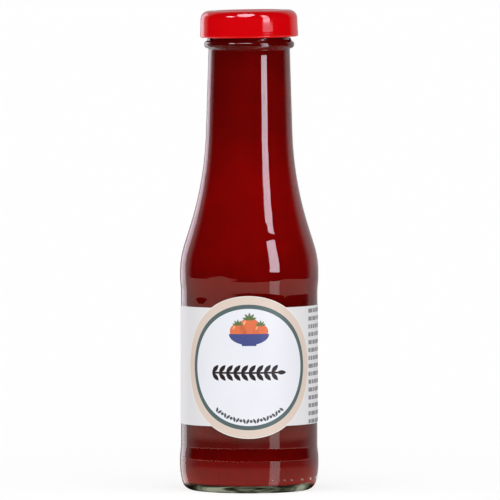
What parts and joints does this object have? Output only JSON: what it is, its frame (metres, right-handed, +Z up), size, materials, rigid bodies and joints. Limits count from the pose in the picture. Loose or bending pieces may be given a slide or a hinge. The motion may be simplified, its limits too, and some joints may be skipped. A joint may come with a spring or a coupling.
{
  "type": "ketchup bottle",
  "caption": "Shut glass ketchup bottle with a long neck, round shoulders, red twist-off cap and a wrap label with a round lobe in front.",
  "frame": {"origin": "centre of the base, on the surface the bottle stands on", "axes": "+Z up along the bottle's axis, towards the cap; the label's round lobe faces -Y; +X is to the right seen from the front"},
  "size_m": [0.0582, 0.0582, 0.201],
  "materials": {
    "glass": "clear moulded flint glass, faint green in the thick base",
    "ketchup": "dark red tomato ketchup seen through glass, smooth, in full contact with the wall",
    "cap": "glossy red lacquer on pressed tinplate",
    "label": "coated label paper, off-white with a tan and grey-green ring round a pale disc"
  },
  "bodies": {
    "root": {"bottle": "glass", "ketchup": "ketchup", "cap": "cap", "label": "label"}
  },
  "joints": []
}
